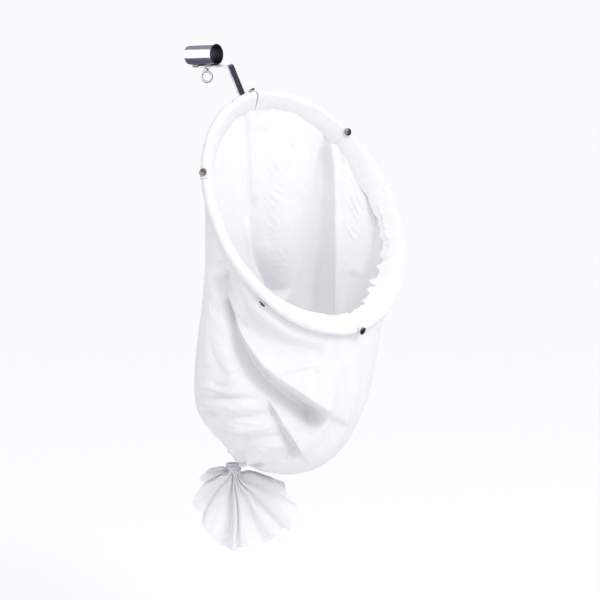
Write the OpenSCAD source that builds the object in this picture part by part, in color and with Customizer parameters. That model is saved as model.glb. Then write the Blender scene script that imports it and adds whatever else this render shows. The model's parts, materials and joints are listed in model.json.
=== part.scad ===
// Cloth catching bag on a steel hoop, with an angled strap bracket and a clamp socket for a pole.
// Millimetres. The origin is the middle of the socket's bore, +X runs along the bore towards the
// open side of the bag, and +Z is up, so the cloth hangs along -Z.

/* [Pole socket] */
// Outside diameter of the socket tube
socket_od = 30; // [29:0.5:34]
// Bore of the socket tube
socket_id = 27; // [24:0.5:27]
// Length of the socket tube
socket_len = 50; // [44:1:70]

/* [Strap bracket] */
// Width of the flat strap
strap_w = 12; // [10:0.5:14]
// Thickness of the flat strap
strap_t = 3; // [2:0.5:4]
// How far the strap's leaf reaches behind the clamp screw
leaf_back = 20; // [14:1:22]
// Distance from the clamp screw to the strap's bend
bend_x = 47; // [44:1:60]
// Angle between the two legs' directions
leg_angle = 72; // [66:1:78]
// Length of the leg from the bend to the hoop rod
leg_len = 51.5; // [46:0.5:60]

/* [Clamp screw] */
// Outside diameter of the screw's thread
screw_d = 6; // [5:0.5:6]
// Pitch of the thread
screw_pitch = 1; // [0.8:0.1:1.2]
// Outside diameter of the finger eye
eye_od = 19; // [17:0.5:20]
// Diameter of the eye's wire
eye_wire = 3.6; // [3:0.1:4]
// Turn of the eye about the screw's axis
eye_turn = 160; // [0:5:175]

/* [Hoop] */
// Diameter of the hoop along the middle of its rod
hoop_d = 366; // [350:2:380]
// Diameter of the hoop's rod
rod_d = 8; // [6:0.5:8]
// Angle between the hoop's normal and the socket's bore
hoop_tilt = 26.6; // [22:0.2:30]
// Roll of the bracket about the pole
hang_roll = 13; // [8:0.5:18]

/* [Cloth] */
// Outside radius of the casing that wraps the rod
casing_r = 6.5; // [6:0.1:7]
// Depth of the facing inside the mouth
facing_w = 34; // [26:1:40]
// Thickness of the bag's cloth with its folds
cloth_t = 2; // [1.6:0.1:2.2]

/* [Press studs] */
// Diameter of a stud's cap
cap_d = 11; // [10:0.5:13]
// Diameter of a stud's base
stud_d = 9; // [8.5:0.5:10]
// Length of the casing's tab along the rod
tab_len = 17; // [16:0.5:18]
// Thickness of the tab, two layers of cloth
tab_t = 1.3; // [1:0.1:1.4]

/* [Tie] */
// Diameter of the tie cord
cord_d = 3; // [2.5:0.1:3.2]
// Radius of the gathered neck
neck_r = 9; // [8:0.5:9]

/* [Hidden] */
$fn = 64;

// Small gaps between pieces
skin_gap = 0.3;
thread_gap = 0.05;

// Seams between the six panels, as angles round the hoop from the bracket
seams = [-6, 56, 118, 172, 238, 297, 354];
// How far each stud is rolled round the rod, from straight outwards towards the open side
stud_roll = [-12, 30, -80, 40, -80, 120];

// Strap and hoop in the bracket's plane: x along the bore, s from the bore towards the hoop
hoop_r = hoop_d / 2;
leaf_s = socket_od / 2 + strap_t / 2 + thread_gap;
leg_x = cos(leg_angle);
leg_s = sin(leg_angle);
rod_offset = (strap_t + rod_d) / 2 + thread_gap;
rod_x = bend_x + leg_len * leg_x + rod_offset * leg_s;
rod_s = leaf_s + leg_len * leg_s - rod_offset * leg_x;
hoop_x = rod_x + hoop_r * sin(hoop_tilt);
hoop_s = rod_s + hoop_r * cos(hoop_tilt);
leg_past = 8;
bend_r = 2;

// The hoop's middle and directions in the row frame
hoop_c = [hoop_x, hoop_s * sin(hang_roll), -hoop_s * cos(hang_roll)];
hoop_n = [cos(hoop_tilt), -sin(hoop_tilt) * sin(hang_roll), sin(hoop_tilt) * cos(hang_roll)];
hoop_out = [-sin(hoop_tilt), -cos(hoop_tilt) * sin(hang_roll), cos(hoop_tilt) * cos(hang_roll)];
hoop_side = cross(hoop_n, hoop_out);

// Level rings of the hanging bag, from under the hoop down to the outlet over the neck. Each row is
// [height, middle x, middle y, half length across, half length along]
across = [hoop_n[1], -hoop_n[0]] / norm([hoop_n[0], hoop_n[1]]);
along = [hoop_n[0], hoop_n[1]] / norm([hoop_n[0], hoop_n[1]]);
neck_x = 66;
neck_y = -16;
outlet_z = -583;
wall_drop = 9;
levels = [
    [-402, 132, 37, 172, 86],
    [-490, 122, 29, 152, 104],
    [-550, 120, 28, 114, 84],
    [-593, 105, 6, 62, 62],
    [outlet_z, neck_x, neck_y, 14, 14]
];
// A point in the middle of the bag's space
bag_middle = [levels[1][1], levels[1][2], -470];
// Rows of the wall, as a place between one ring and the next
wall_rows = [0, 0.12, 0.3, 0.5, 0.75, 1, 1.5, 2, 2.5, 3, 3.5, 4, 4.5, 5];
wall_steps = 9;

// The neck hangs a little below the outlet and swings about its top
tie_z = -594;
neck_end_z = -606;

// The knot stands in front of the neck, with two short ends of the cord
knot_at = [neck_x + 9.6, neck_y - 13.2, tie_z];
knot_d = 6.6;
end_len = 11;
end_leans = [-38, 52];

// Heights of the screw's parts below the bore, drawn along +Z out of the socket
screw_tip = socket_id / 2 + 0.1;
eye_middle = 32;
collar_s = eye_middle - eye_od / 2 - 1.3;
washer_s = collar_s - 1.1;

// ---- frames ----

// Puts its children, drawn with the hoop side along -Z, at the bracket's roll
module in_bracket() {
    rotate([hang_roll, 0, 0]) children();
}

// Puts its children, drawn about +Z with the bracket at +X, on the hoop
module on_hoop() {
    in_bracket()
        translate([hoop_x, 0, -hoop_s])
            rotate([0, -(90 + hoop_tilt), 0])
                rotate([180, 0, 0])
                    children();
}

// Puts its children, drawn along +Z from the rod's middle, at one stud
module at_stud(k) {
    on_hoop()
        rotate([0, 0, seams[k]])
            translate([hoop_r, 0, 0])
                rotate([0, 90 - stud_roll[k], 0])
                    children();
}

// ---- metal ----

module pole_socket() {
    lip_len = 4;
    lip_step = 0.9;
    color("lightsteelblue")
        in_bracket()
            difference() {
                // The tube steps down to a thinner lip at the end that the pole enters
                union() {
                    translate([lip_len - socket_len / 2, 0, 0])
                        rotate([0, 90, 0]) cylinder(d = socket_od, h = socket_len - lip_len);
                    translate([-socket_len / 2, 0, 0])
                        rotate([0, 90, 0]) cylinder(d = socket_od - 2 * lip_step, h = socket_len);
                }
                rotate([0, 90, 0]) cylinder(d = socket_id, h = socket_len + 2, center = true);
                translate([0, 0, -socket_od])
                    cylinder(d = screw_d + 2 * thread_gap, h = socket_od);
            }
}

// The strap's side view: x along the bore, y up. Both legs are tangent to the bend's arcs
module strap_side(grow = 0) {
    setback = (bend_r + strap_t / 2) * tan(leg_angle / 2);
    middle = [bend_x - setback, -leaf_s - strap_t / 2 - bend_r];
    down = [leg_x, -leg_s];
    out = [leg_s, leg_x];
    inner = bend_r - grow;
    outer = bend_r + strap_t + grow;
    straight = leg_len + leg_past - setback + grow;
    turns = [0 : leg_angle / 8 : leg_angle];
    polygon(concat(
        [[-leaf_back - grow, middle[1] + inner], [-leaf_back - grow, middle[1] + outer]],
        [for (a = turns) middle + outer * [sin(a), cos(a)]],
        [middle + outer * out + straight * down, middle + inner * out + straight * down],
        [for (a = turns) middle + inner * [sin(leg_angle - a), cos(leg_angle - a)]]
    ));
}

module strap_bar(grow = 0) {
    rotate([90, 0, 0])
        linear_extrude(height = strap_w + 2 * grow, center = true) strap_side(grow);
}

module strap_bracket() {
    color("silver")
        in_bracket()
            difference() {
                strap_bar();
                translate([0, 0, -socket_od])
                    cylinder(d = screw_d + 2 * thread_gap, h = socket_od);
            }
}

module tube_body(grow = 0) {
    rotate([0, 90, 0]) cylinder(d = socket_od + 2 * grow, h = 3 * socket_len, center = true);
}

// Fillets between the tube and the strap's edges, before and behind the clamp screw
module socket_welds() {
    color("rosybrown")
        in_bracket()
            difference() {
                for (side = [-1, 1], start = [-18, 7])
                    translate([start, side * (strap_w / 2 - 0.4), -leaf_s + strap_t / 2 + 0.3])
                        rotate([0, 90, 0])
                            cylinder(d = 3, h = 11);
                tube_body(grow = 0.02);
                strap_bar(grow = 0.02);
            }
}

// Fillets between the hoop's rod and both faces of the strap's leg
module hoop_welds() {
    color("rosybrown")
        difference() {
            on_hoop()
                for (side = [-1, 1])
                    translate([hoop_r + side * 3.2, 0, -rod_d / 2 + 0.7])
                        rotate([90, 0, 0])
                            cylinder(d = 3, h = strap_w - 2, center = true);
            in_bracket() strap_bar(grow = 0.02);
            rod_ring(grow = 0.02);
        }
}

module in_screw() {
    in_bracket() rotate([180, 0, 0]) children();
}

module clamp_washer() {
    color("gainsboro")
        in_screw()
            translate([0, 0, washer_s])
                difference() {
                    cylinder(d = 12, h = 1);
                    translate([0, 0, -1]) cylinder(d = screw_d + 2 * thread_gap, h = 3);
                }
}

module clamp_eye_screw() {
    root_d = screw_d - 1.1 * screw_pitch;
    thread_end = collar_s - 0.6;
    color("lightslategray")
        in_screw()
            union() {
                // Shank with its thread ridges
                translate([0, 0, screw_tip]) cylinder(d = root_d, h = collar_s - screw_tip + 0.5);
                for (z = [screw_tip + 0.3 : screw_pitch : thread_end - screw_pitch])
                    translate([0, 0, z])
                        rotate_extrude()
                            polygon([
                                [root_d / 2 - 0.3, 0], [root_d / 2, 0],
                                [screw_d / 2, 0.4 * screw_pitch], [screw_d / 2, 0.5 * screw_pitch],
                                [root_d / 2, 0.9 * screw_pitch], [root_d / 2 - 0.3, 0.9 * screw_pitch]
                            ]);
                // Collar and eye
                translate([0, 0, collar_s]) cylinder(d = 9, h = 1.6);
                translate([0, 0, eye_middle])
                    rotate([90, 0, eye_turn])
                        rotate_extrude()
                            translate([(eye_od - eye_wire) / 2, 0]) circle(d = eye_wire);
            }
}

module rod_ring(grow = 0) {
    on_hoop()
        rotate_extrude($fn = 180)
            translate([hoop_r, 0]) circle(d = rod_d + 2 * grow, $fn = 48);
}

module hoop_rod() {
    color("slategray") rod_ring();
}

// ---- casing ----

// How far the facing leans back from the hoop's plane, and where the casing leaves the rod bare
facing_lean = 64;
bare_from = 9;
bare_span = 4.5;

module casing_profile() {
    translate([hoop_r, 0]) {
        difference() {
            circle(r = casing_r, $fn = 48);
            circle(r = rod_d / 2 + skin_gap, $fn = 48);
        }
        rotate([0, 0, 270 - facing_lean])
            translate([rod_d / 2 + skin_gap + 0.6, -0.7])
                square([facing_w, 1.4]);
    }
}

module casing_flap(k) {
    start = seams[k] + 0.3;
    span = seams[k + 1] - seams[k] - 0.6;
    color("white")
        difference() {
            on_hoop()
                rotate([0, 0, start])
                    rotate_extrude(angle = span, $fn = 180) casing_profile();
            if (k == 0) {
                in_bracket() strap_bar(grow = 0.4);
                // Gap that leaves the rod bare beside the bracket
                on_hoop()
                    rotate([0, 0, bare_from])
                        rotate_extrude(angle = bare_span)
                            translate([hoop_r + 2, -3]) square([8, 6]);
                on_hoop()
                    translate([hoop_r, 0, -rod_d / 2 + 0.4])
                        cube([12, strap_w + 1, 4.4], center = true);
            }
        }
}

// ---- bag ----

function mix(a, b, f) = a * (1 - f) + b * f;

function hoop_dir(angle) = hoop_out * cos(angle) + hoop_side * sin(angle);

function top_point(angle) = hoop_c + hoop_r * hoop_dir(angle) - wall_drop * hoop_n;

// Where this angle of the hoop lies on a level oval
function level_point(level, angle) =
    let (
        d = hoop_dir(angle),
        flat = [d[0], d[1]],
        u = flat * across,
        v = flat * along / hoop_n[2]
    )
    [
        level[1] + u * level[3] * across[0] + v * level[4] * along[0],
        level[2] + u * level[3] * across[1] + v * level[4] * along[1],
        level[0]
    ];

function ring_point(index, angle) =
    index == 0 ? top_point(angle) : level_point(levels[index - 1], angle);

function wall_point(row, angle) =
    let (index = min(floor(row), len(levels) - 1))
    mix(ring_point(index, angle), ring_point(index + 1, angle), row - index);

function wall_normal(row, angle) =
    let (
        around = wall_point(row, angle + 2) - wall_point(row, angle - 2),
        down = wall_point(min(row + 0.1, len(levels)), angle) - wall_point(max(row - 0.1, 0), angle),
        n = cross(down, around)
    )
    n / norm(n);

function unit_out(row, angle) =
    let (n = wall_normal(row, angle), out = wall_point(row, angle) - bag_middle)
    n * out < 0 ? -n : n;

// Triangles of a closed sheet with rows of cols points outside, then the same inside
function sheet_faces(rows, cols) =
    let (
        inner = rows * cols,
        at = function(i, j) i * cols + j
    )
    concat(
        [for (i = [0 : rows - 2], j = [0 : cols - 2])
            each [[at(i, j), at(i, j + 1), at(i + 1, j + 1)], [at(i, j), at(i + 1, j + 1), at(i + 1, j)]]],
        [for (i = [0 : rows - 2], j = [0 : cols - 2])
            each [
                [inner + at(i, j), inner + at(i + 1, j + 1), inner + at(i, j + 1)],
                [inner + at(i, j), inner + at(i + 1, j), inner + at(i + 1, j + 1)]
            ]],
        [for (j = [0 : cols - 2], i = [0, rows - 1])
            each i == 0
                ? [[at(i, j), inner + at(i, j), inner + at(i, j + 1)],
                   [at(i, j), inner + at(i, j + 1), at(i, j + 1)]]
                : [[at(i, j), inner + at(i, j + 1), inner + at(i, j)],
                   [at(i, j), at(i, j + 1), inner + at(i, j + 1)]]],
        [for (i = [0 : rows - 2], j = [0, cols - 1])
            each j == 0
                ? [[at(i, j), inner + at(i + 1, j), inner + at(i, j)],
                   [at(i, j), at(i + 1, j), inner + at(i + 1, j)]]
                : [[at(i, j), inner + at(i, j), inner + at(i + 1, j)],
                   [at(i, j), inner + at(i + 1, j), at(i + 1, j)]]]
    );

module bag_panel(k) {
    first = seams[k] + 0.3;
    last = seams[k + 1] - 0.3;
    angles = [for (j = [0 : wall_steps]) mix(first, last, j / wall_steps)];
    outer = [for (r = wall_rows, a = angles) wall_point(r, a) + unit_out(r, a) * cloth_t / 2];
    inner = [for (r = wall_rows, a = angles) wall_point(r, a) - unit_out(r, a) * cloth_t / 2];
    color("whitesmoke")
        difference() {
            polyhedron(concat(outer, inner), sheet_faces(len(wall_rows), len(angles)), convexity = 6);
            if (k == 0 || k == 5) in_bracket() strap_bar(grow = 0.4);
            // Scoops that clear the two studs behind the rod
            for (turned = [2, 4])
                if (k == turned || k == turned - 1) at_stud(turned) cylinder(r = 13, h = 19);
        }
}

// ---- press studs ----

module stud_post(k) {
    color("silver")
        at_stud(k) {
            translate([0, 0, casing_r + 0.1]) cylinder(d = stud_d, h = 0.8);
            translate([0, 0, casing_r + 0.5]) cylinder(d = 3.4, h = 2.6);
        }
}

module snap_cap(k) {
    base = casing_r + 1.2;
    color("gainsboro")
        at_stud(k)
            difference() {
                union() {
                    translate([0, 0, base]) cylinder(d = 8.4, h = 2.2);
                    translate([0, 0, base + 1.6])
                        rotate_extrude()
                            intersection() {
                                translate([0, -9.5]) circle(r = 11.4, $fn = 96);
                                square([cap_d / 2, 6]);
                            }
                }
                translate([0, 0, base - 1]) cylinder(d = 3.6, h = 3.2);
            }
}

module flap_tab(k) {
    inside = casing_r + 1.3;
    color("white")
        at_stud(k)
            difference() {
                intersection() {
                    rotate([90, 0, 0]) cylinder(r = inside + tab_t, h = tab_len, center = true);
                    translate([-tab_len / 2, -tab_len / 2, 4.4]) cube([tab_len, tab_len, 12]);
                }
                rotate([90, 0, 0]) cylinder(r = inside, h = tab_len + 2, center = true);
                cylinder(d = 8.6, h = 20);
                translate([0, 0, casing_r + 2.75]) cylinder(d = cap_d + 0.4, h = 6);
                cylinder(d = stud_d + 0.6, h = casing_r + 1.0);
            }
}

// ---- tied end ----

module gathered_neck() {
    color("whitesmoke")
        translate([neck_x, neck_y, 0])
            rotate_extrude()
                polygon([
                    [0, outlet_z + neck_r], [5, outlet_z + 7.5], [8, outlet_z + 4],
                    [neck_r, outlet_z], [neck_r, neck_end_z], [0, neck_end_z]
                ]);
}

// Ovals of the tail: [height, shift to the right, half width, half depth]
tail_rings = [
    [neck_end_z - 0.1, 0, neck_r, neck_r],
    [-621, 2, 26, 15],
    [-641, 6, 52, 24],
    [-664, 15, 74, 32],
    [-681, 14, 74, 34],
    [-697, 10, 58, 30],
    [-709, 6, 34, 22]
];
// Directions of the tail's width and depth
fan_right = [0.793, 0.609];
fan_front = [0.609, -0.793];

module bag_tail() {
    steps = 32;
    count = len(tail_rings);
    points = [for (r = tail_rings, i = [0 : steps - 1])
        let (
            a = 360 * i / steps,
            w = r[1] + r[2] * cos(a),
            d = r[3] * sin(a)
        )
        [neck_x + fan_right[0] * w + fan_front[0] * d, neck_y + fan_right[1] * w + fan_front[1] * d, r[0]]];
    sides = [for (k = [0 : count - 2], i = [0 : steps - 1])
        let (j = (i + 1) % steps)
        each [
            [k * steps + i, (k + 1) * steps + i, (k + 1) * steps + j],
            [k * steps + i, (k + 1) * steps + j, k * steps + j]
        ]];
    top = [[for (i = [0 : steps - 1]) i]];
    bottom = [[for (i = [steps - 1 : -1 : 0]) (count - 1) * steps + i]];
    color("whitesmoke") polyhedron(points, concat(sides, top, bottom), convexity = 4);
}

module tie_wraps() {
    color("gainsboro")
        for (i = [-1 : 1])
            translate([neck_x, neck_y, tie_z + i * cord_d * 1.02])
                rotate_extrude()
                    translate([neck_r + cord_d / 2 + 0.05, 0]) circle(d = cord_d, $fn = 24);
}

module tie_knot() {
    color("gainsboro")
        translate(knot_at)
            rotate([0, 0, atan2(fan_right[1], fan_right[0])]) {
                rotate([0, 0, 90]) sphere(d = knot_d);
                for (lean = end_leans)
                    rotate([180, lean, 0]) cylinder(d = cord_d, h = end_len);
            }
}

// ---- nodes ----

pole_socket();
strap_bracket();
socket_welds();
hoop_welds();
clamp_washer();
clamp_eye_screw();
hoop_rod();
for (k = [0 : 5]) {
    casing_flap(k);
    bag_panel(k);
    stud_post(k);
    snap_cap(k);
    flap_tab(k);
}
gathered_neck();
bag_tail();
tie_wraps();
tie_knot();
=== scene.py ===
"""Cotton catching bag on a steel hoop, with its bracket and clamp socket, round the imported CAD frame."""
import json
import math

import bmesh
import bpy
import numpy as np
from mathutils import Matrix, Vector


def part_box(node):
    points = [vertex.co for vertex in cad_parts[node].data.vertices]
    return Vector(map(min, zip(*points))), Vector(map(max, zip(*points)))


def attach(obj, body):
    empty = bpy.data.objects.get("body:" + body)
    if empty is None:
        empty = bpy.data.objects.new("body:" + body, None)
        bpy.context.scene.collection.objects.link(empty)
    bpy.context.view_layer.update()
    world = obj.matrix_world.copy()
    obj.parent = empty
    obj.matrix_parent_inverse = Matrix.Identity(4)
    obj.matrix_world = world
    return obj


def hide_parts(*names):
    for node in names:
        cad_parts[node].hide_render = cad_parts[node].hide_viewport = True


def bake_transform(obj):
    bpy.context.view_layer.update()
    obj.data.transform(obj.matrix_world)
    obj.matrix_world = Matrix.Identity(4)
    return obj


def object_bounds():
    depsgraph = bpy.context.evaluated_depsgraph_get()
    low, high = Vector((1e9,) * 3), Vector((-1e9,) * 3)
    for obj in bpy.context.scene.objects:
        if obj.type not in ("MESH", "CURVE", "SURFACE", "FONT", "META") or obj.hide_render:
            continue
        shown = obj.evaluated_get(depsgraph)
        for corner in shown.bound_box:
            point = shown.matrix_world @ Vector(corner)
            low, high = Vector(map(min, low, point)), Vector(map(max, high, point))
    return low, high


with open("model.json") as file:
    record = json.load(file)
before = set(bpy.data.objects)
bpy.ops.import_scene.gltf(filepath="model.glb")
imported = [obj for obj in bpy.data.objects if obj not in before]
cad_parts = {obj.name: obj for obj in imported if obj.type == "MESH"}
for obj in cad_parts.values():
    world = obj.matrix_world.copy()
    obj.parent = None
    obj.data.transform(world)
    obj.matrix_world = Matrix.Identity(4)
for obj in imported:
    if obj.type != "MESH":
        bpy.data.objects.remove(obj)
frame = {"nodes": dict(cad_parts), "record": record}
cad_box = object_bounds()
nodes = frame["nodes"]

# ---------------------------------------------------------------- frame and sizes, in metres
MM = 0.001
PANELS = [f"bag_panel_{k}" for k in range(1, 7)]
FLAPS = [f"casing_flap_{k}" for k in range(1, 7)]
HOOP_TILT = math.radians(26.6)
HANG_ROLL = math.radians(13)
HOOP_R = 183 * MM
SEAMS = [-6, 56, 118, 172, 238, 297]


def middle(node):
    """The middle of a CAD node's box."""
    low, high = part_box(node)
    return (np.array(low) + np.array(high)) / 2


HOOP_C = middle("hoop_rod")
NORMAL = np.array([
    math.cos(HOOP_TILT),
    -math.sin(HOOP_TILT) * math.sin(HANG_ROLL),
    math.sin(HOOP_TILT) * math.cos(HANG_ROLL),
])
OUT = np.array([
    -math.sin(HOOP_TILT),
    -math.cos(HOOP_TILT) * math.sin(HANG_ROLL),
    math.cos(HOOP_TILT) * math.cos(HANG_ROLL),
])
SIDE = np.cross(NORMAL, OUT)
NECK_LOW, NECK_HIGH = (np.array(v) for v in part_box("gathered_neck"))
NECK = np.array([
    (NECK_LOW[0] + NECK_HIGH[0]) / 2,
    (NECK_LOW[1] + NECK_HIGH[1]) / 2,
    NECK_HIGH[2] - 9 * MM,
])
NECK_R = 8.6 * MM
TIE_Z = middle("tie_wraps")[2]

# The view's level directions: to the right, and towards the viewer
VIEW_AZ = math.radians(37.55)
VIEW_EL = math.radians(7.07)
RIGHT = np.array([math.cos(VIEW_AZ), math.sin(VIEW_AZ), 0.0])
FRONT = np.array([math.sin(VIEW_AZ), -math.cos(VIEW_AZ), 0.0])
UP = np.array([0.0, 0.0, 1.0])


def hoop_dir(angle):
    """Directions from the hoop's middle to its rod, for angles in radians from the bracket."""
    angle = np.asarray(angle)[..., None]
    return OUT * np.cos(angle) + SIDE * np.sin(angle)


def bump_at(x, at, width):
    """A smooth bump of height 1."""
    return np.exp(-(((x - at) / width) ** 2))


def angle_gap(x, at):
    """Signed distance between angles, in degrees."""
    return (x - at + 180) % 360 - 180


def smooth_step(x, low, high):
    t = np.clip((x - low) / (high - low), 0, 1)
    return t * t * (3 - 2 * t)


# ---------------------------------------------------------------- camera, lights and floor
def add_camera():
    """The camera stands off the hoop's middle and looks a little below it."""
    distance, drop, shift = 2.2, 0.1276, 0.0109
    back = Vector((
        math.sin(VIEW_AZ) * math.cos(VIEW_EL),
        -math.cos(VIEW_AZ) * math.cos(VIEW_EL),
        math.sin(VIEW_EL),
    ))
    turn = (-back).to_track_quat("-Z", "Y")
    data = bpy.data.cameras.new("camera")
    data.lens = 92.5
    data.sensor_width = 36
    camera = bpy.data.objects.new("camera", data)
    camera.rotation_mode = "QUATERNION"
    camera.rotation_quaternion = turn
    target = Vector(HOOP_C) + turn @ Vector((-shift, -drop, 0))
    camera.location = target + back * distance
    bpy.context.scene.collection.objects.link(camera)
    bpy.context.scene.camera = camera


def add_light(name, place, size, power, tint):
    """A square soft light that faces the bag."""
    data = bpy.data.lights.new(name, "AREA")
    data.size = size
    data.energy = power
    data.color = tint
    light = bpy.data.objects.new(name, data)
    light.location = place
    aim = Vector(HOOP_C) - Vector(place)
    light.rotation_mode = "QUATERNION"
    light.rotation_quaternion = aim.to_track_quat("-Z", "Y")
    bpy.context.scene.collection.objects.link(light)


def in_view(right, up, front):
    """A place beside the hoop's middle, in metres along the view's directions."""
    return tuple(HOOP_C + RIGHT * right + UP * up + FRONT * front)


def add_world():
    """A white room for the camera, soft light for the cloth, and a room with dark walls for the metal."""
    world = bpy.data.worlds.new("studio")
    bpy.context.scene.world = world
    world.use_nodes = True
    tree = world.node_tree
    nodes_, links = tree.nodes, tree.links
    seen = nodes_["Background"]
    seen.inputs["Color"].default_value = (0.972, 0.975, 1.0, 1)
    seen.inputs["Strength"].default_value = 0.985
    path = nodes_.new("ShaderNodeLightPath")
    way = nodes_.new("ShaderNodeTexCoord")

    def towards(direction):
        """How far a ray points along a direction, from -1 to 1."""
        dot = nodes_.new("ShaderNodeVectorMath")
        dot.operation = "DOT_PRODUCT"
        dot.inputs[1].default_value = direction
        links.new(way.outputs["Generated"], dot.inputs[0])
        return dot.outputs["Value"]

    def tones(source, stops):
        """Maps -1..1 to colours."""
        spread = nodes_.new("ShaderNodeMapRange")
        spread.inputs["From Min"].default_value = -1
        links.new(source, spread.inputs["Value"])
        node = nodes_.new("ShaderNodeValToRGB")
        while len(node.color_ramp.elements) < len(stops):
            node.color_ramp.elements.new(0.5)
        for element, (at, colour) in zip(node.color_ramp.elements, stops):
            element.position = (at + 1) / 2
            element.color = (*colour, 1)
        links.new(spread.outputs["Result"], node.inputs["Fac"])
        return node.outputs["Color"]

    soft = nodes_.new("ShaderNodeBackground")
    key_side = tuple(0.58 * RIGHT + 0.34 * UP + 0.74 * FRONT)
    soft_tones = tones(towards(key_side), [
        (-1, (0.42, 0.43, 0.52)), (-0.2, (0.58, 0.60, 0.70)),
        (0.35, (1.0, 1.0, 1.0)), (0.9, (1.0, 1.0, 0.99)),
    ])
    links.new(soft_tones, soft.inputs["Color"])
    soft.inputs["Strength"].default_value = 1.2
    mirrored = nodes_.new("ShaderNodeBackground")
    level = tones(towards((0, 0, 1)), [
        (-1, (0.85, 0.86, 0.9)), (-0.9, (0.06, 0.06, 0.08)), (-0.5, (0.12, 0.12, 0.17)),
        (-0.4, (0.98, 0.98, 1.0)), (0.56, (1.0, 1.0, 1.0)), (0.68, (0.18, 0.19, 0.24)),
        (0.88, (0.30, 0.31, 0.37)), (1, (0.95, 0.95, 0.98)),
    ])
    side = tones(towards(tuple(RIGHT)), [
        (-1, (1, 1, 1)), (0.45, (1, 1, 1)), (0.75, (0.06, 0.07, 0.09)), (1, (0.05, 0.055, 0.08)),
    ])
    both = nodes_.new("ShaderNodeMix")
    both.data_type = "RGBA"
    both.blend_type = "MULTIPLY"
    both.inputs["Factor"].default_value = 1.0
    links.new(level, both.inputs["A"])
    links.new(side, both.inputs["B"])
    links.new(both.outputs["Result"], mirrored.inputs["Color"])
    mirrored.inputs["Strength"].default_value = 1.35
    first = nodes_.new("ShaderNodeMixShader")
    links.new(path.outputs["Is Glossy Ray"], first.inputs["Fac"])
    links.new(soft.outputs[0], first.inputs[1])
    links.new(mirrored.outputs[0], first.inputs[2])
    second = nodes_.new("ShaderNodeMixShader")
    links.new(path.outputs["Is Camera Ray"], second.inputs["Fac"])
    links.new(first.outputs[0], second.inputs[1])
    links.new(seen.outputs[0], second.inputs[2])
    links.new(second.outputs[0], nodes_["World Output"].inputs["Surface"])


def add_floor():
    """A wide pale floor that fades into the room's white, with no edge."""
    half = 40
    floor_z = cad_box[0][2] - 0.35
    mesh = bpy.data.meshes.new("floor")
    corners = ((-half, -half), (half, -half), (half, half), (-half, half))
    mesh.from_pydata([(x, y, floor_z) for x, y in corners], [], [(0, 1, 2, 3)])
    floor = bpy.data.objects.new("floor", mesh)
    bpy.context.scene.collection.objects.link(floor)
    mat, tree, shader = new_material("pale_floor")
    shader.inputs["Roughness"].default_value = 1.0
    shader.inputs["Specular IOR Level"].default_value = 0.0
    place = tree.nodes.new("ShaderNodeTexCoord")
    shrink = tree.nodes.new("ShaderNodeVectorMath")
    shrink.operation = "SCALE"
    shrink.inputs["Scale"].default_value = 1 / 9
    far = tree.nodes.new("ShaderNodeTexGradient")
    far.gradient_type = "SPHERICAL"
    tree.links.new(place.outputs["Object"], shrink.inputs[0])
    tree.links.new(shrink.outputs["Vector"], far.inputs["Vector"])
    tone = ramp(tree, far.outputs["Fac"], [(0.0, (0.0, 0.0, 0.0)), (0.75, (0.60, 0.60, 0.61))])
    tree.links.new(tone, shader.inputs["Base Color"])
    glow = ramp(tree, far.outputs["Fac"], [(0.0, (0.972, 0.975, 1.0)), (0.75, (0.36, 0.362, 0.37))])
    tree.links.new(glow, shader.inputs["Emission Color"])
    shader.inputs["Emission Strength"].default_value = 0.985
    mesh.materials.append(mat)
    floor.visible_glossy = False


def add_stage():
    add_world()
    add_light("key", in_view(1.3, 1.5, 1.5), 0.55, 16.5, (1.0, 0.995, 0.98))
    add_floor()
    bpy.context.scene.view_settings.view_transform = "Standard"


# ---------------------------------------------------------------- materials
def new_material(name):
    mat = bpy.data.materials.new(name)
    mat.use_nodes = True
    return mat, mat.node_tree, mat.node_tree.nodes["Principled BSDF"]


def texture(tree, kind, scale, **sockets):
    """A procedural texture in the object's own metres."""
    place = tree.nodes.get("Texture Coordinate") or tree.nodes.new("ShaderNodeTexCoord")
    node = tree.nodes.new(kind)
    node.inputs["Scale"].default_value = scale
    for name, value in sockets.items():
        node.inputs[name.replace("_", " ")].default_value = value
    tree.links.new(place.outputs["Object"], node.inputs["Vector"])
    return node


def ramp(tree, source, stops):
    """A colour ramp over (position, colour) stops."""
    node = tree.nodes.new("ShaderNodeValToRGB")
    while len(node.color_ramp.elements) < len(stops):
        node.color_ramp.elements.new(0.5)
    for element, (at, colour) in zip(node.color_ramp.elements, stops):
        element.position = at
        element.color = (*colour, 1)
    tree.links.new(source, node.inputs["Fac"])
    return node.outputs["Color"]


def add_bump(tree, shader, height, distance, strength=1.0, after=None):
    node = tree.nodes.new("ShaderNodeBump")
    node.inputs["Distance"].default_value = distance
    node.inputs["Strength"].default_value = strength
    tree.links.new(height, node.inputs["Height"])
    if after is not None:
        tree.links.new(after, node.inputs["Normal"])
    tree.links.new(node.outputs["Normal"], shader.inputs["Normal"])
    return node.outputs["Normal"]


def grey(value):
    return (value, value, value)


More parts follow.
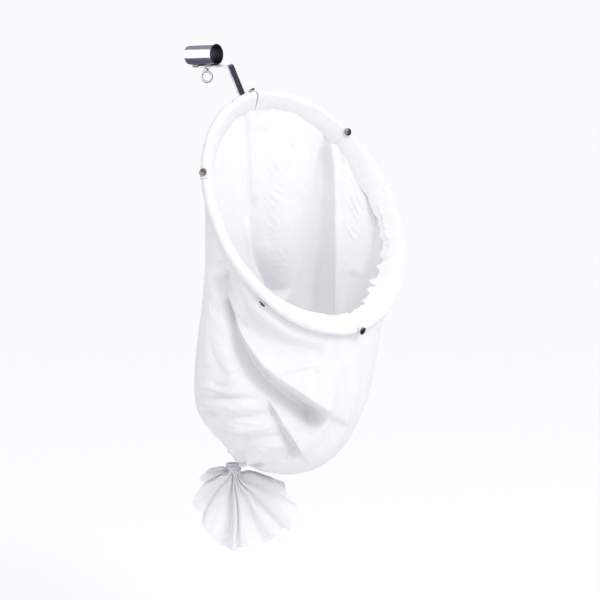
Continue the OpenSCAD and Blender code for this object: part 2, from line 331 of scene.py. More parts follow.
def cotton_material(name, tint=(0.93, 0.93, 0.95), through=0.42):
    """Plain-weave cotton: crossed threads, slubs, a faint crumple, and some light through it."""
    mat, tree, shader = new_material(name)
    slub = texture(tree, "ShaderNodeTexNoise", 60, Detail=6.0, Roughness=0.6)
    dim = tuple(c * 0.965 for c in tint)
    tone = ramp(tree, slub.outputs["Fac"], [(0.35, dim), (0.65, tint)])
    tree.links.new(tone, shader.inputs["Base Color"])
    shader.inputs["Roughness"].default_value = 0.92
    shader.inputs["Specular IOR Level"].default_value = 0.15
    shader.inputs["Sheen Weight"].default_value = 0.08
    shader.inputs["Sheen Roughness"].default_value = 0.5
    threads = []
    for direction in ("X", "Z"):
        wave = texture(tree, "ShaderNodeTexWave", 620, Distortion=0.6, Detail=1.0)
        wave.bands_direction = direction
        threads.append(wave.outputs["Fac"])
    weave = tree.nodes.new("ShaderNodeMath")
    weave.operation = "MAXIMUM"
    tree.links.new(threads[0], weave.inputs[0])
    tree.links.new(threads[1], weave.inputs[1])
    crumple = texture(tree, "ShaderNodeTexNoise", 95, Detail=8.0, Roughness=0.62, Distortion=0.4)
    first = add_bump(tree, shader, weave.outputs[0], 0.00006, 0.5)
    add_bump(tree, shader, crumple.outputs["Fac"], 0.0005, 0.55, after=first)
    glow = tree.nodes.new("ShaderNodeBsdfTranslucent")
    glow.inputs["Color"].default_value = (0.98, 0.97, 0.97, 1)
    mix = tree.nodes.new("ShaderNodeMixShader")
    mix.inputs["Fac"].default_value = through
    tree.links.new(shader.outputs[0], mix.inputs[1])
    tree.links.new(glow.outputs[0], mix.inputs[2])
    tree.links.new(mix.outputs[0], tree.nodes["Material Output"].inputs["Surface"])
    return mat


def metal_material(name, bright, dark, rough, mark_scale=90, mark=0.00004, stretch=None):
    """Plated or bare steel: tone patches, roughness patches and fine marks."""
    mat, tree, shader = new_material(name)
    shader.inputs["Metallic"].default_value = 1.0
    patches = texture(tree, "ShaderNodeTexNoise", mark_scale, Detail=5.0, Roughness=0.6)
    tone = ramp(tree, patches.outputs["Fac"], [(0.35, dark), (0.62, bright)])
    tree.links.new(tone, shader.inputs["Base Color"])
    low, high = rough
    dullness = ramp(tree, patches.outputs["Fac"], [(0.3, grey(high)), (0.7, grey(low))])
    tree.links.new(dullness, shader.inputs["Roughness"])
    marks = texture(tree, "ShaderNodeTexNoise", mark_scale * 9, Detail=3.0, Roughness=0.7)
    if stretch is not None:
        scaler = tree.nodes.new("ShaderNodeMapping")
        scaler.inputs["Scale"].default_value = stretch
        tree.links.new(tree.nodes["Texture Coordinate"].outputs["Object"], scaler.inputs["Vector"])
        tree.links.new(scaler.outputs["Vector"], marks.inputs["Vector"])
    add_bump(tree, shader, marks.outputs["Fac"], mark, 0.8)
    return mat


add_camera()
add_stage()
COTTON = cotton_material("cotton_weave")
# The hem, facing and snap tabs are the wall's cotton with its tint painted darker, which is painted shade
# that keeps the key light from burning them out. They also let less light through, because the cloth lies
# double there.
HEM_COTTON_PAINTED_SHADE = cotton_material("cotton_hem_painted_shade", tint=(0.885, 0.885, 0.9), through=0.14)
CORD = cotton_material("cord_fibre", tint=(0.66, 0.65, 0.7), through=0.0)
CHROME = metal_material(
    "bright_chrome", (0.86, 0.87, 0.9), (0.74, 0.75, 0.78), (0.06, 0.16), stretch=(0.2, 1, 1)
)
ZINC = metal_material(
    "bright_zinc", (0.62, 0.64, 0.67), (0.4, 0.42, 0.45), (0.12, 0.3), stretch=(0.25, 1, 0.25)
)
SCREW_ZINC = metal_material("screw_zinc", (0.78, 0.83, 0.9), (0.6, 0.64, 0.7), (0.14, 0.3))
WELD = metal_material(
    "weld_tint", (0.4, 0.33, 0.27), (0.17, 0.13, 0.11), (0.3, 0.55), mark_scale=220, mark=0.0003
)
ROD = metal_material("dark_drawn_steel", (0.22, 0.22, 0.24), (0.1, 0.1, 0.12), (0.25, 0.45))
NICKEL = metal_material("worn_nickel", (0.42, 0.38, 0.36), (0.16, 0.13, 0.12), (0.2, 0.42), mark_scale=260)


# ---------------------------------------------------------------- mesh helpers
def add_mesh(name, points, faces, mat, smooth=True):
    mesh = bpy.data.meshes.new(name)
    mesh.from_pydata([tuple(p) for p in points], [], [tuple(int(i) for i in f) for f in faces])
    mesh.validate()
    mesh.polygons.foreach_set("use_smooth", [smooth] * len(mesh.polygons))
    mesh.materials.append(mat)
    made = bpy.data.objects.new(name, mesh)
    bpy.context.scene.collection.objects.link(made)
    return made


def grid_faces(rows, cols, wrap):
    """Quads of a grid of rows of cols points, closed round the row if wrap."""
    faces = []
    for i in range(rows - 1):
        for j in range(cols if wrap else cols - 1):
            k = (j + 1) % cols
            faces.append((i * cols + j, i * cols + k, (i + 1) * cols + k, (i + 1) * cols + j))
    return faces


def add_grid(name, points, mat, wrap=False):
    """A sheet from points[row, column]."""
    rows, cols = points.shape[:2]
    return add_mesh(name, points.reshape(-1, 3), grid_faces(rows, cols, wrap), mat)


def apply_modifiers(obj):
    graph = bpy.context.evaluated_depsgraph_get()
    made = bpy.data.meshes.new_from_object(obj.evaluated_get(graph))
    obj.modifiers.clear()
    if obj.data.shape_keys:
        obj.shape_key_clear()
    obj.data = made


def thicken(obj, thickness, offset=0.0):
    shell = obj.modifiers.new("thickness", "SOLIDIFY")
    shell.thickness = thickness
    shell.offset = offset


def subdivide(obj, levels=1):
    finer = obj.modifiers.new("smooth", "SUBSURF")
    finer.levels = levels
    finer.render_levels = levels


# ---------------------------------------------------------------- bag wall
COLS, ROWS = 300, 132
WALL_T = 0.5 * MM
SETTLE_FRAMES = 3

# Rings of the hanging bag: [height under the hoop's middle, its middle to the right, and to the front,
# half length across the hoop's tilt, half length along it], in mm, and how far it slopes down to the right
RINGS = [
    (-28, -1, 0, 180, 80, 0),
    (-108, -15, 0, 170, 82, 0),
    (-178, -24, 0, 165, 90, 0),
    (-248, -32, 0, 156, 104, 0),
    (-288, -41, 0, 142, 104, 0.1),
    (-320, -45, 0, 112, 94, 0.22),
    (-343, -50, 2, 82, 74, 0.33),
    (-364, -58, 4, 50, 44, 0.36),
]
LEVEL_ACROSS = np.array([NORMAL[1], -NORMAL[0], 0]) / np.hypot(NORMAL[0], NORMAL[1])
LEVEL_ALONG = np.array([NORMAL[0], NORMAL[1], 0]) / np.hypot(NORMAL[0], NORMAL[1])


def ring_points(phi):
    """The wall's guide points for each angle: hoop, level rings and neck, points[ring, column]."""
    d = hoop_dir(phi)
    top = HOOP_C + (HOOP_R - 3.5 * MM) * d - 6 * MM * NORMAL
    u = (d @ LEVEL_ACROSS)[:, None]
    v = (d @ LEVEL_ALONG)[:, None] / NORMAL[2]
    rings = [top]
    for height, right, front, across, along, slope in RINGS:
        middle_here = HOOP_C + (RIGHT * right + FRONT * front + UP * height) * MM
        ring = middle_here + (u * across * LEVEL_ACROSS + v * along * LEVEL_ALONG) * MM
        ring[:, 2] -= slope * ((ring - middle_here) @ RIGHT)
        # A low stretch of the hoop starts below the upper rings
        z = middle_here[2]
        low = np.minimum(ring[:, 2], top[:, 2] - 0.12 * (top[:, 2] - z).clip(0) - 0.03)
        ring[:, 2] = np.where(top[:, 2] < z + 0.03, low, ring[:, 2])
        rings.append(ring)
    to_neck = (rings[-1] - NECK) * [1, 1, 0]
    to_neck /= np.linalg.norm(to_neck, axis=1)[:, None]
    rings.append(NECK + NECK_R * to_neck + UP * 1 * MM)
    return np.array(rings)


def wall_start():
    """The bag's wall before its folds: points[row, column] from the hoop to the neck."""
    phi = np.linspace(0, 2 * math.pi, COLS, endpoint=False)
    guide = ring_points(phi)
    step = np.linalg.norm(np.diff(guide, axis=0), axis=2)
    along = np.vstack([np.zeros(COLS), np.cumsum(step, axis=0)])
    points = np.empty((ROWS, COLS, 3))
    for j in range(COLS):
        s = np.linspace(0, along[-1, j], ROWS)
        for k in range(3):
            points[:, j, k] = np.interp(s, along[:, j], guide[:, j, k])
    # Rounds the guide's corners
    for _ in range(60):
        points[1:-1] = 0.25 * points[:-2] + 0.5 * points[1:-1] + 0.25 * points[2:]
    return np.degrees(phi), np.linspace(0, 1, ROWS), points


def outward(points):
    """Normals of a closed grid, pointing away from its middle."""
    around = np.roll(points, -1, axis=1) - np.roll(points, 1, axis=1)
    down = np.gradient(points, axis=0)
    n = np.cross(down, around)
    n /= np.maximum(np.linalg.norm(n, axis=2), 1e-9)[..., None]
    centre = points.mean(axis=1, keepdims=True)
    flip = np.sign(((points - centre) * n).sum(axis=2).mean())
    return n * flip


def to_stroke(right, up, stroke):
    """Distance in mm from a stroke's line, positive on its left, and the place along it from 0 to 1."""
    best = np.full(right.shape, 1e9)
    signed = np.zeros(right.shape)
    place = np.zeros(right.shape)
    line = np.array(stroke, float)
    total = np.linalg.norm(np.diff(line, axis=0), axis=1).sum()
    done = 0.0
    for a, b in zip(line[:-1], line[1:]):
        along = b - a
        length = np.linalg.norm(along)
        along = along / length
        dr, du = right - a[0], up - a[1]
        t = np.clip(dr * along[0] + du * along[1], 0, length)
        off_r, off_u = dr - t * along[0], du - t * along[1]
        gap = np.hypot(off_r, off_u)
        side = np.sign(du * along[0] - dr * along[1])
        nearer = gap < best
        best = np.where(nearer, gap, best)
        signed = np.where(nearer, side * gap, signed)
        place = np.where(nearer, (done + t) / total, place)
        done += length
    return signed, place


# Folds of the wall as strokes in mm right of and above the hoop's middle, as seen from the front.
# A lap's left side, along the stroke's way, stands over its right side, which falls back and returns.
# A long lap fades out along its second half. Each stroke has a height and a width for its start and end.
OUTSIDE_FOLDS = [
    ("lap", [(-118, -96), (-87, -160), (-64, -196), (-42, -217), (-8, -244), (36, -282)], (30, 62), (12, 14)),
    ("lap", [(-50, -248), (-32, -283), (-15, -316), (-6, -336)], (14, 24), (8, 10)),
    ("ridge", [(22, -268), (30, -286), (24, -300)], (7, 4), (7, 7)),
    ("valley", [(34, -282), (20, -287), (6, -312)], (9, 4), (6, 6)),
    ("ridge", [(-66, -196), (-55, -178)], (3, 1), (5, 5)),
    ("lap", [(108, -204), (50, -207), (-10, -210), (-58, -216)], (-3, -4), (9, 10)),
    ("valley", [(52, -216), (47, -257), (38, -322)], (6, 4), (9, 8)),
    ("ridge", [(66, -216), (62, -257), (52, -322)], (4, 3), (12, 10)),
    ("ridge", [(-128, -62), (-118, -117), (-104, -215)], (3, 5), (10, 12)),
    ("valley", [(-134, -58), (-134, -121), (-128, -196), (-122, -240)], (2, 6), (9, 14)),
    ("ridge", [(-159, -232), (-94, -238), (-29, -230)], (5.5, 2.5), (5, 4)),
    ("valley", [(-157, -246), (-94, -244), (-39, -252)], (6, 2.5), (5, 4)),
    ("ridge", [(-156, -256), (-94, -256), (-44, -262)], (5.5, 2.5), (5, 4)),
    ("valley", [(-155, -268), (-94, -270), (-30, -270)], (7, 3), (5, 5)),
    ("ridge", [(-150, -284), (-87, -290), (-29, -288)], (6, 4), (5, 5)),
    ("valley", [(-140, -298), (-81, -300), (-34, -308)], (7.5, 5), (6, 5)),
    ("ridge", [(-124, -322), (-74, -317), (-25, -322)], (3, 3), (5, 5)),
    ("valley", [(-90, -202), (-83, -217), (-91, -230)], (1.6, 1.6), (3.5, 3.5)),
    ("valley", [(-128, -62), (-98, -128), (-56, -164), (-10, -184), (30, -194)], (42, 12), (15, 12)),
    ("valley", [(14, -214), (12, -234)], (3.5, 0.5), (4, 4)),
    ("valley", [(28, -212), (30, -236)], (3.5, 0.5), (4, 4)),
    ("ridge", [(-100, -250), (-98, -310), (-108, -350)], (4, 5), (14, 9)),
    ("valley", [(-122, -270), (-116, -320), (-112, -352)], (4, 5), (9, 7)),
    ("valley", [(-84, -300), (-92, -330), (-104, -356)], (3, 6), (9, 6)),
    ("ridge", [(-60, -318), (-80, -342), (-100, -362)], (4, 6), (10, 6)),
    ("valley", [(-30, -330), (-62, -354), (-96, -366)], (4, 6), (10, 6)),
]
INSIDE_FOLDS = [
    ("long lap", [(34, 112), (40, 62), (41, -50), (40, -176), (36, -330)], (22, 84), (10, 38)),
    ("lap", [(-50, -150), (-60, -116), (-77, -75), (-82, -31), (-83, 20)], (52, 8), (11, 7)),
    ("valley", [(-90, 146), (-86, 69), (-84, -20)], (8, 7), (4.5, 5)),
    ("ridge", [(-82, 146), (-79, 69), (-77, -20)], (7, 5), (4, 5)),
    ("ridge", [(-14, 126), (-14, 10), (-34, -140)], (6, 9), (24, 22)),
    ("valley", [(-62, 126), (-60, 10), (-52, -60)], (5, 7), (16, 15)),
    ("ridge", [(84, 60), (86, -10), (74, -110)], (4, 7), (18, 20)),
    ("valley", [(52, 92), (47, 40)], (3, 1), (4, 4)),
    ("ridge", [(60, 84), (54, 30)], (3, 1), (4, 4)),
]
# Fans of small slanting creases: middle, reach across and along, direction in degrees, spacing and height
INSIDE_CREASES = [
    ((-52, 44), 20, 78, -38, 9, 2.8),
    ((-44, -84), 22, 60, -42, 8, 2.6),
    ((64, -16), 20, 70, -50, 8, 2.6),
    ((-8, 50), 26, 80, -60, 13, 1.6),
]
OUTSIDE_CREASES = [
    ((-118, -250), 44, 66, 4, 13, 2.2),
    ((-70, -290), 48, 36, 8, 11, 1.8),
    ((0, -226), 42, 20, 82, 9, 1.5),
    ((54, -268), 28, 50, 74, 12, 1.6),
]


def stroke_lift(right, up, kind, line, height, width):
    """Height in mm that a stroke gives the points at right and up."""
    signed, place = to_stroke(right, up, line)
    size = height[0] + (height[1] - height[0]) * place
    reach = width[0] + (width[1] - width[0]) * place
    # A stroke fades where it starts and ends
    fade = smooth_step(place, 0.55, 1.0) if kind == "long lap" else 0.8 * smooth_step(place, 0.94, 1.0)
    size = size * smooth_step(place, -0.001, 0.10) * (1 - fade)
    if kind == "ridge":
        return size * np.exp(-((signed / reach) ** 2))
    if kind == "valley":
        return -size * np.exp(-((signed / reach) ** 2))
    gap = np.abs(signed)
    fallen = -2.0 * size * (1 - np.exp(-gap / (0.5 * reach))) * np.exp(-gap / (1.5 * reach))
    crest = 0.08 * size * np.exp(-gap / (1.2 * reach))
    return np.where(signed < 0, fallen + 0.08 * size * np.exp(-gap / (1.2 * reach)), crest)


def crease_lift(right, up, at, across, along, slant, spacing, height):
    """A patch of slanting creases."""
    dr, du = right - at[0], up - at[1]
    patch = np.exp(-((dr / across) ** 2) - (du / along) ** 2)
    way = math.radians(slant)
    t = -dr * math.sin(way) + du * math.cos(way)
    s = dr * math.cos(way) + du * math.sin(way)
    wobble = 0.35 * spacing * np.sin(s / 9 + t / 14) + 0.2 * spacing * np.sin(t / 5.3)
    wave = np.sin(2 * math.pi * (t + wobble) / spacing)
    broken = 0.5 + 0.5 * np.sin(s / 7.5 + 2.1 * np.sin(t / 11))
    return height * patch * np.sign(wave) * np.abs(wave) ** 0.8 * broken


def crumple(co, scale, seed):
    """A smooth field of numbers near -1 to 1 over points, from turned sine waves."""
    rng = np.random.default_rng(seed)
    total = np.zeros(len(co))
    for octave in range(4):
        for _ in range(5):
            way = rng.normal(size=3)
            way /= np.linalg.norm(way)
            total += np.sin(co @ way * scale * 1.9**octave + rng.uniform(0, 6.28)) * 0.6**octave
    return total / 4


def fold_wall(deg, t, points):
    """Adds the folds to the wall's near side, and to its far side, which shows through the mouth."""
    n = outward(points)
    facing = n @ FRONT
    offset = (points - HOOP_C) / MM
    right, up = offset @ RIGHT, offset[..., 2]
    row = t[:, None]
    ends = smooth_step(row, 0.0, 0.05) * (1 - smooth_step(row, 0.95, 1.0))
    near = smooth_step(facing, -0.15, 0.25)
    far = smooth_step(-facing, -0.15, 0.25)
    lift_near = sum(stroke_lift(right, up, *fold) for fold in OUTSIDE_FOLDS)
    lift_near = lift_near + sum(crease_lift(right, up, *fan) for fan in OUTSIDE_CREASES)
    lift_far = sum(stroke_lift(right, up, *fold) for fold in INSIDE_FOLDS)
    lift_far = lift_far + sum(crease_lift(right, up, *fan) for fan in INSIDE_CREASES)
    # The back has long soft pleats of its own
    angle = np.radians(deg)[None, :]
    back_pleats = 4 * np.sin(9 * angle + 2 * row) + 2.5 * np.sin(17 * angle - 3 * row)
    back = smooth_step(row, 0.05, 0.5) * back_pleats
    behind = smooth_step(-facing, 0.1, 0.6)
    toward_out = 0.6 * n + 0.4 * FRONT
    toward_in = -0.6 * n + 0.4 * FRONT
    moved = points + (near * ends * lift_near)[..., None] * MM * toward_out
    moved += (far * ends * lift_far)[..., None] * MM * toward_in
    moved += (0.35 * behind * ends * back)[..., None] * MM * n
    # The lower end gathers into the neck
    gather = smooth_step(row, 0.72, 0.95) * (1 - smooth_step(row, 0.95, 1.0))
    pleats = 4.5 * np.sin(15 * angle + 0.8) + 2.5 * np.sin(31 * angle)
    moved += (gather * pleats)[..., None] * MM * n
    ripple = crumple(moved.reshape(-1, 3), 42, 3).reshape(ROWS, COLS)
    moved += outward(moved) * (ripple * ends * 0.9 * MM)[..., None]
    return moved


def drape_wall():
    """Folds the wall, then lets it settle for a few frames as cloth cut a little larger than it hangs."""
    deg, t, start = wall_start()
    start = fold_wall(deg, t, start)
    wall = add_grid("bag_wall", start, COTTON, wrap=True)
    wall.shape_key_add(name="Basis")
    cut = wall.shape_key_add(name="cut")
    centre = start.mean(axis=(0, 1))
    cut.data.foreach_set("co", ((start - centre) * [1.012, 1.012, 1.015] + centre).ravel())
    cut.value = 0
    group = wall.vertex_groups.new(name="held")
    held_rows = ((0, 1.0), (1, 0.8), (ROWS - 1, 1.0), (ROWS - 2, 1.0), (ROWS - 3, 0.8), (ROWS - 4, 0.5))
    for row, hold in held_rows:
        group.add([row * COLS + j for j in range(COLS)], hold, "REPLACE")
    cloth = wall.modifiers.new("cloth", "CLOTH")
    s = cloth.settings
    s.quality = 6
    s.mass = 0.08
    s.tension_stiffness = 40
    s.compression_stiffness = 12
    s.shear_stiffness = 10
    s.bending_stiffness = 2.5
    s.tension_damping = 10
    s.compression_damping = 10
    s.shear_damping = 10
    s.bending_damping = 4
    s.air_damping = 4
    s.vertex_group_mass = "held"
    s.rest_shape_key = cut
    cloth.collision_settings.use_collision = False
    cloth.collision_settings.use_self_collision = False
    frames = SETTLE_FRAMES
    cloth.point_cache.frame_start = 1
    cloth.point_cache.frame_end = frames
    scene = bpy.context.scene
    for number in range(1, frames + 1):
        scene.frame_set(number)
    apply_modifiers(wall)
    scene.frame_set(1)
    return wall


wall = drape_wall()
subdivide(wall)
apply_modifiers(wall)
thicken(wall, WALL_T)
apply_modifiers(wall)
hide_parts(*PANELS)
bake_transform(wall)


# ---------------------------------------------------------------- casing and facing
# The facing round the hoop: angle from the bracket, width in mm, and how far it leans back, in degrees
FACING = [
    (0, 27, 44), (25, 28, 36), (60, 30, 28), (90, 30, 28), (120, 28, 26), (150, 28, 16), (172, 27, 16),
    (188, 31, 30), (208, 38, 40), (225, 32, 46), (240, 26, 48), (255, 31, 46), (272, 34, 46),
    (297, 25, 46), (325, 25, 45),
]
# Where the casing starts round the rod: 0 is outward from the hoop's middle, 90 is the open side
WRAP_START = -142
WRAP_R = 5.6
CASING_T = 0.9 * MM
# Where the casing leaves the rod bare beside the bracket: angles round the hoop, and round the rod
BARE_FROM, BARE_TO = 9.2, 13.3
BARE_LOW, BARE_HIGH = -60, 32


def facing_at(deg):
    angles, widths, leans = (np.array(v, float) for v in zip(*FACING))
    around = np.concatenate([angles - 360, angles, angles + 360])
    place = np.asarray(deg) % 360
    width = np.interp(place, around, np.tile(widths, 3))
    lean = np.interp(place, around, np.tile(leans, 3))
    return width, lean


def make_casing(number, first, last):
    """One stretch of the hem between two seams: it wraps the rod and faces the inside of the mouth."""
    overlap = 0.25
    low = first + (0.35 if number == 1 else -overlap)
    high = last - (0.35 if number == 6 else -overlap)
    count = int((high - low) * 3.2)
    deg = np.linspace(low, high, count)
    phi = np.radians(deg)
    turns = np.linspace(0, 1, 40)
    facing = np.linspace(0, 1, 26)[1:]
    width, lean = facing_at(deg)
    kernel = np.hanning(25)
    kernel /= kernel.sum()
    lean = np.convolve(np.pad(lean, 12, "edge"), kernel, "valid")
    width = np.convolve(np.pad(width, 12, "edge"), kernel, "valid")
    crumpled = bump_at(angle_gap(deg, 206), 0, 26)
    pocket = bump_at(angle_gap(deg, 246), 0, 15)
    width = width + 0.7 * np.sin(phi * 23 + number) + 0.5 * np.sin(phi * 57)
    width = width + crumpled * 2.5 * np.sin(phi * 41)
    wrap_end = 90 + lean
    # The wrap, tighter beside the bare rod, and rippled along the rod
    beside_bare = bump_at(angle_gap(deg, 0.5 * (BARE_FROM + BARE_TO)), 0, 4)
    loose = WRAP_R + 0.2 * np.sin(phi * 61 + 2 * number) + 0.14 * np.sin(phi * 133) - 1.2 * beside_bare
    loose = loose + 0.12 * (number % 2)
    wrap = np.radians(WRAP_START + (wrap_end[:, None] - WRAP_START) * turns[None, :])
    swell = 1 + 0.05 * np.sin(wrap * 2 + phi[:, None] * 9)
    radial = loose[:, None] * np.cos(wrap) * swell
    normal = loose[:, None] * np.sin(wrap) * swell
    edge_r, edge_n = radial[:, -1:], normal[:, -1:]
    v = facing[None, :]
    # The facing bends back a little more towards its edge
    lean_here = np.radians(lean[:, None] + 10 * v)
    flutter = v**1.4 * (
        1.3 * np.sin(phi * 9 + number) + 0.8 * np.sin(phi * 23 + 1.7 * number) + 0.4 * np.sin(phi * 71)
    )[:, None]
    waves = 3.4 * np.sin(phi * 37) + 2.6 * np.sin(phi * 59 + 1) + 1.2 * np.sin(phi * 113)
    folds = (crumpled * waves)[:, None]
    curl = (crumpled[:, None] * 2.0) * np.sin(6 * v + phi[:, None] * 24)
    flutter = flutter + folds * np.sin(0.5 * math.pi * v) + curl
    dip = -9 * pocket[:, None] * np.sin(math.pi * np.clip(v / 0.75, 0, 1)) ** 1.5
    # A stitched hem stands up along the edge
    hem = 0.55 * smooth_step(v, 0.78, 0.81) - 0.5 * bump_at(v, 0.79, 0.025)
    reach = width[:, None] * v
    off = flutter + dip + hem
    radial = np.hstack([radial, edge_r - reach * np.cos(lean_here) + off * np.sin(lean_here) * 0.7])
    normal = np.hstack([normal, edge_n - reach * np.sin(lean_here) + off * np.cos(lean_here)])
    d = hoop_dir(phi)[:, None, :]
    points = HOOP_C + d * (HOOP_R + radial[..., None] * MM) + NORMAL * normal[..., None] * MM
    fine = crumple(points.reshape(-1, 3), 130, 20 + number).reshape(points.shape[:2])
    shape = np.hstack([np.full(len(turns), 0.15), 0.35 + 0.3 * facing])
    points = points + NORMAL * (fine * shape[None, :] * MM)[..., None]
    obj = add_grid(f"casing_{number}", points, HEM_COTTON_PAINTED_SHADE)
    if number == 1:
        bm = bmesh.new()
        bm.from_mesh(obj.data)
        cols = points.shape[1]
        wrap_deg = np.degrees(wrap)
        bare = []
        for f in bm.faces:
            index = min(vert.index for vert in f.verts)
            row, place = index // cols, index % cols
            inside = place < len(turns) and BARE_LOW < wrap_deg[row, place] < BARE_HIGH
            if inside and BARE_FROM < deg[row] < BARE_TO:
                bare.append(f)
        bmesh.ops.delete(bm, geom=bare, context="FACES")
        bm.to_mesh(obj.data)
        bm.free()
    thicken(obj, CASING_T)
    subdivide(obj)
    apply_modifiers(obj)
    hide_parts(FLAPS[number - 1])
    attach(obj, "root")
    return obj


casings = [make_casing(k + 1, SEAMS[k], SEAMS[k + 1] if k < 5 else SEAMS[0] + 360) for k in range(6)]


# ---------------------------------------------------------------- tied end
# Outline of the tail: angle from straight down in the view, in degrees, and length in mm
TAIL_LOBES = [
    (-84, 40), (-76, 50), (-68, 52), (-62, 40), (-57, 52), (-51, 76), (-42, 80), (-36, 76), (-33, 86),
    (-24, 100), (-14, 108), (-5, 116), (5, 120), (14, 114), (21, 117), (32, 114), (43, 120), (52, 114),
    (58, 115), (66, 92), (73, 60),
]
# Pleats of its near side: angle, depth in mm, width in degrees; a negative depth stands out
TAIL_PLEATS = [
    (-61, 12, 3.4), (-72, -4, 7), (-50, -5, 7), (-38, 3, 3), (-32, 7, 3.4), (-21, -5, 8), (-6, 13, 4.2),
    (1, -6, 4), (7, 7, 2.6), (14, -4, 5), (21, 7, 4.0), (29, -4, 4.5), (36, 7, 4.0), (46, -5, 7), (58, 3, 3),
    (65, -3, 5),
]


def make_tail():
    """The fanned end of the bag: a flattened, pleated tube from the tie to its open hem."""
    cols, rows = 560, 64
    u = np.linspace(0, 2 * math.pi, cols, endpoint=False)
    angles, lengths = zip(*TAIL_LOBES)
    base = -5.5 - 78.5 * np.cos(u)
    near = smooth_step(np.sin(u), -0.06, 0.12)
    pleat = 4.0 * np.sin(u * 13 + 0.6) + 3.0 * np.sin(u * 27 + 1.1)
    angle = base + pleat * np.abs(np.sin(u)) ** 0.5 * (1 - 0.75 * near)
    length = np.interp(base, angles, lengths) + 1.4 * np.sin(u * 17) - 7 * (1 - near)
    depth = np.sin(u)
    far_fold = 14 * np.cos(u * 13 + 0.6) + 7 * np.cos(u * 27 + 1.1)
    near_fold = sum(-size * np.exp(-np.abs((base - at) / wide) ** 1.8) for at, size, wide in TAIL_PLEATS)
    near_fold = near_fold + 0.7 * np.sin(np.radians(base) * 37 + 1) + 0.25 * np.sin(np.radians(base) * 83)
    fold = near * near_fold + (1 - near) * far_fold
    points = np.empty((rows, cols, 3))
    start = np.array([NECK[0], NECK[1], TIE_Z])
    for i, v in enumerate(np.linspace(0, 1, rows)):
        r = (3 + (length - 3) * v) * MM
        open_out = smooth_step(v, -0.05, 0.4)
        sway = 2.6 * v * np.sin(4.2 * v + base * 0.11) * smooth_step(v, 0.1, 0.5)
        a = np.radians(angle * (0.2 + 0.8 * open_out) + sway)
        out = (5 + 17 * v ** 0.8) * depth + fold * (0.2 + 0.8 * v ** 0.7) * smooth_step(v, -0.02, 0.22)
        neck = NECK_R * (1 - smooth_step(v, 0.0, 0.3))
        around = np.cos(u)[:, None] * -RIGHT * neck + np.sin(u)[:, None] * FRONT * neck
        pucker = 1.3 * MM * np.cos(u * 22) * smooth_step(v, 0, 0.08) * (1 - smooth_step(v, 0.1, 0.4))
        points[i] = (
            start
            + around * 0.92
            + np.sin(a)[:, None] * RIGHT * r[:, None]
            - np.cos(a)[:, None] * UP * r[:, None]
            + (out * MM * smooth_step(v, 0.0, 0.16) + pucker)[:, None] * FRONT
        )
    ripple = crumple(points.reshape(-1, 3), 90, 11).reshape(rows, cols)
    points += outward(points) * (ripple * np.linspace(0, 1, rows)[:, None] * 0.8 * MM)[..., None]
    tail = add_grid("bag_tail_cloth", points, COTTON, wrap=True)
    thicken(tail, 0.5 * MM)
    subdivide(tail)
    apply_modifiers(tail)
    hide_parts("bag_tail", "gathered_neck")
    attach(tail, "tail")
    return tail


tail = make_tail()


def cord_mesh(path, radius, lay=7.5 * MM, closed=False):
    """Points and faces of a three-strand twisted cord along a path."""
    path = np.array(path, float)
    count = len(path)
    tangent = np.gradient(path, axis=0)
    if closed:
        tangent = np.roll(path, -1, axis=0) - np.roll(path, 1, axis=0)
    tangent /= np.linalg.norm(tangent, axis=1)[:, None]
    first = np.cross(tangent[0], (0.31, 0.52, 0.79))
    side = first / np.linalg.norm(first)
    around = np.linspace(0, 2 * math.pi, 24, endpoint=False)
    length = np.concatenate([[0], np.cumsum(np.linalg.norm(np.diff(path, axis=0), axis=1))])
    points = []
    for k in range(count):
        side = side - tangent[k] * (side @ tangent[k])
        side /= np.linalg.norm(side)
        other = np.cross(tangent[k], side)
        turn = 2 * math.pi * length[k] / lay
        strand = np.abs(np.cos(1.5 * (around - turn)))
        r = radius * (0.74 + 0.26 * strand ** 0.6)
        if not closed and k in (0, count - 1):
            r = r * 0.75
        ring = np.cos(around)[:, None] * side + np.sin(around)[:, None] * other
        points.append(path[k] + r[:, None] * ring)
    rings = np.array(points)
    faces = grid_faces(count + 1 if closed else count, 24, True)
    if closed:
        faces = [[i % (count * 24) for i in f] for f in faces]
    else:
        faces += [list(range(23, -1, -1)), [(count - 1) * 24 + i for i in range(24)]]
    return rings.reshape(-1, 3), faces


CORD_R = 1.5 * MM


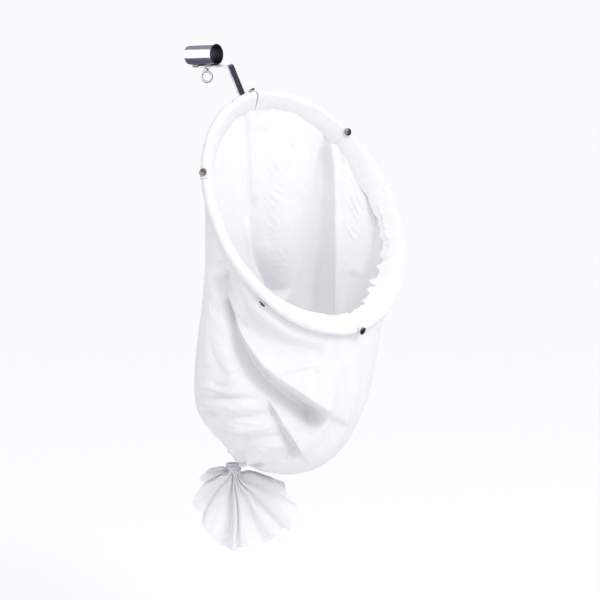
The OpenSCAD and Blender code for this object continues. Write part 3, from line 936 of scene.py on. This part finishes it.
def make_tie():
    """Three turns of thin cord round the neck, and its knot with two short ends."""
    turn = np.linspace(0, 3 * 2 * math.pi, 220)
    ring_r = NECK_R + 1.3 * MM
    rise = (turn / (2 * math.pi) - 1.5) * 3.05 * MM
    axis = np.array([NECK[0], NECK[1], TIE_Z])
    start = -0.3
    wraps = axis + np.stack([
        np.cos(turn + start) * ring_r, np.sin(turn + start) * ring_r, rise + 0.25 * MM * np.sin(turn * 2.2)
    ], axis=1)
    points, faces = cord_mesh(wraps, CORD_R)
    loops = add_mesh("tie_cord_turns", points, faces, CORD)
    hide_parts("tie_wraps")
    low, high = (np.array(v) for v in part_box("tie_knot"))
    centre = np.array([(low[0] + high[0]) / 2, (low[1] + high[1]) / 2, high[2] - 3.4 * MM])
    t = np.linspace(0, 2 * math.pi, 90, endpoint=False)
    knot = centre + MM * (
        (2.3 * np.sin(t) + 1.5 * np.sin(2 * t))[:, None] * RIGHT
        + (2.3 * np.cos(t) - 1.5 * np.cos(2 * t))[:, None] * UP
        + (-1.7 * np.sin(3 * t))[:, None] * FRONT
    )
    all_points, all_faces = cord_mesh(knot, CORD_R, closed=True)
    for lean, long in ((-34, 12.5), (24, 10.5)):
        a = math.radians(lean)
        s = np.linspace(0, long, 26)
        end = centre + FRONT * 1.5 * MM + MM * (
            (s * math.sin(a) + 0.6 * np.sin(s / 3))[:, None] * RIGHT - (s * math.cos(a))[:, None] * UP
            + (0.8 * np.sin(s / 4))[:, None] * FRONT
        )
        more, more_faces = cord_mesh(end, CORD_R * 0.95)
        all_faces = all_faces + [[i + len(all_points) for i in f] for f in more_faces]
        all_points = np.vstack([all_points, more])
    tied = add_mesh("tie_cord_knot", all_points, all_faces, CORD)
    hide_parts("tie_knot")
    for piece in (loops, tied):
        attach(piece, "tail")


make_tie()


# ---------------------------------------------------------------- snap tabs
TAB_HALF = 8.3
TAB_HIGH = 7.35
TAB_T = 0.8 * MM


def make_tab(k):
    """A small square cotton tab bent over the casing under a snap, pressed in round the stud."""
    phi = math.radians(SEAMS[k])
    d = hoop_dir(np.array([phi]))[0]
    rod = HOOP_C + HOOP_R * d
    tangent = np.cross(NORMAL, d)
    up = middle(f"snap_cap_{k + 1}") - rod
    up -= tangent * (up @ tangent)
    up /= np.linalg.norm(up)
    across = np.cross(tangent, up)
    turn = np.radians(np.linspace(-62, 62, 40))[:, None]
    place = np.linspace(-TAB_HALF, TAB_HALF, 40)[None, :]
    corner = np.abs(turn / turn.max()) ** 6 + np.abs(place / TAB_HALF) ** 6
    edge = np.maximum(np.abs(turn / turn.max()), np.abs(place / TAB_HALF))
    gap = np.hypot(turn * 7.6, place)
    high = TAB_HIGH + 0.35 * bump_at(edge, 0.86, 0.1) - 0.45 * smooth_step(edge, 0.9, 1.0)
    high = high + 0.12 * np.sin(place * 1.1 + k)
    high = high - 0.5 * bump_at(gap, 0, 5.2)
    squeeze = 1 - 0.05 * corner
    points = rod + MM * (
        (high * np.cos(turn * squeeze))[..., None] * up + (high * np.sin(turn * squeeze))[..., None] * across
        + (place * squeeze)[..., None] * tangent
    )
    tab = add_grid(f"snap_tab_{k + 1}", points, HEM_COTTON_PAINTED_SHADE)
    thicken(tab, TAB_T)
    subdivide(tab)
    apply_modifiers(tab)
    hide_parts(f"flap_tab_{k + 1}")
    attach(tab, f"snap_{k + 1}")
    return tab


tabs = [make_tab(k) for k in range(6)]

for name, node in nodes.items():
    mats = {"socket_chrome": CHROME, "strap_zinc": ZINC, "screw_zinc": SCREW_ZINC, "weld": WELD,
            "rod_steel": ROD, "stud_nickel": NICKEL, "cotton": HEM_COTTON_PAINTED_SHADE, "tie_cord": CORD}
    slot = [s["material_slot"] for s in frame["record"]["subparts"] if s["node"] == name][0]
    node.data.materials.clear()
    node.data.materials.append(mats[slot])

# The socket's bore, of 13.5 mm radius, is dull inside
INSIDE_BORE = 13.8 * MM
socket = nodes["pole_socket"]
socket.data.materials.append(ROD)
for face in socket.data.polygons:
    across = socket.matrix_world @ face.center
    normal = socket.matrix_world.to_3x3() @ face.normal
    if math.hypot(across.y, across.z) < INSIDE_BORE and abs(normal.x) < 0.5:
        face.material_index = 1
